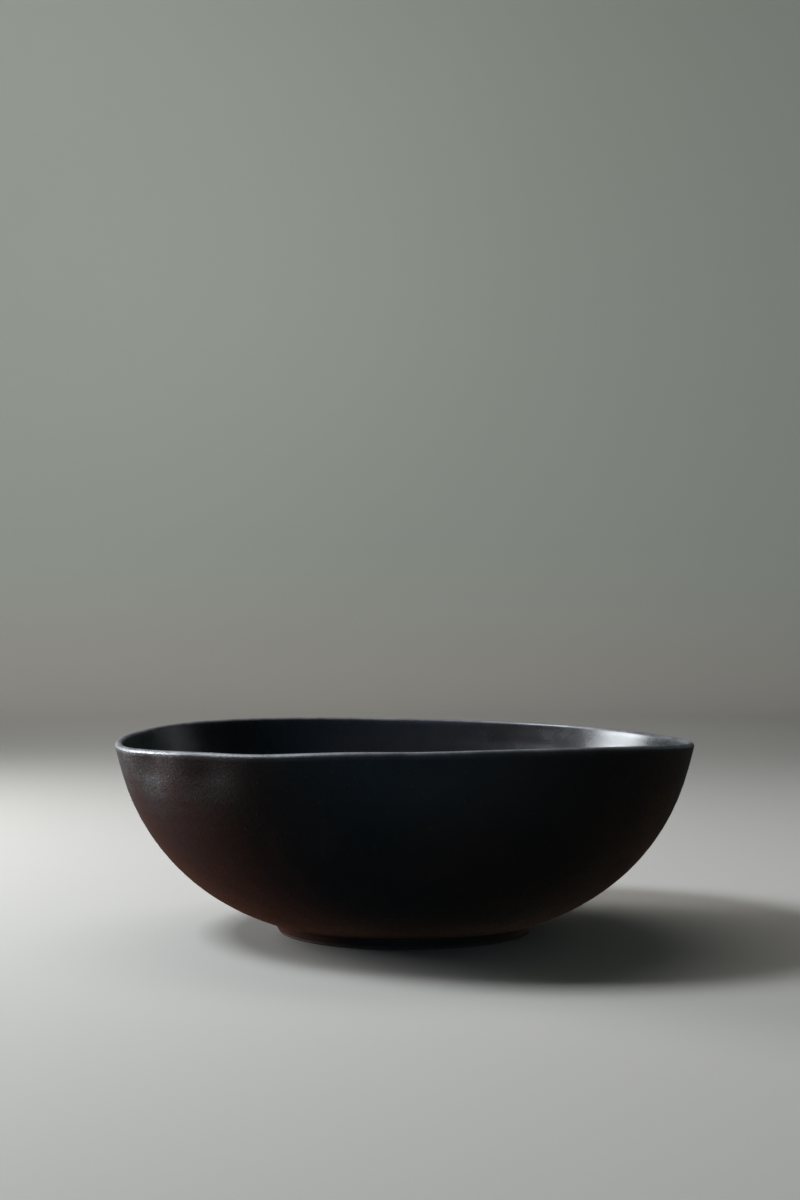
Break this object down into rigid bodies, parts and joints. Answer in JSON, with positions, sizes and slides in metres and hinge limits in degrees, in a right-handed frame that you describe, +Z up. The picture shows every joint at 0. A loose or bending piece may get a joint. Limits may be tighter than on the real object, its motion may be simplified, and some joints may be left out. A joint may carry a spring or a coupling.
{
  "type": "punch bowl",
  "caption": "Wide hand-thrown stoneware punch bowl, satin black glaze, with a softly waved rounded lip and a low luted foot ring. Free-standing and open at the top.",
  "frame": {"origin": "centre of the foot ring's resting plane, on the bowl's axis", "axes": "+Z up along the bowl's axis, -Y the front as displayed, +X to the right seen from the front"},
  "size_m": [0.3182, 0.3198, 0.1098],
  "materials": {
    "black_glaze": "satin black stoneware glaze with fine pinholes",
    "dark_stoneware": "dark stoneware, glazed outside and bare on the turned resting face"
  },
  "bodies": {
    "root": {"bowl_body": "black_glaze", "foot_ring": "dark_stoneware"}
  },
  "joints": []
}
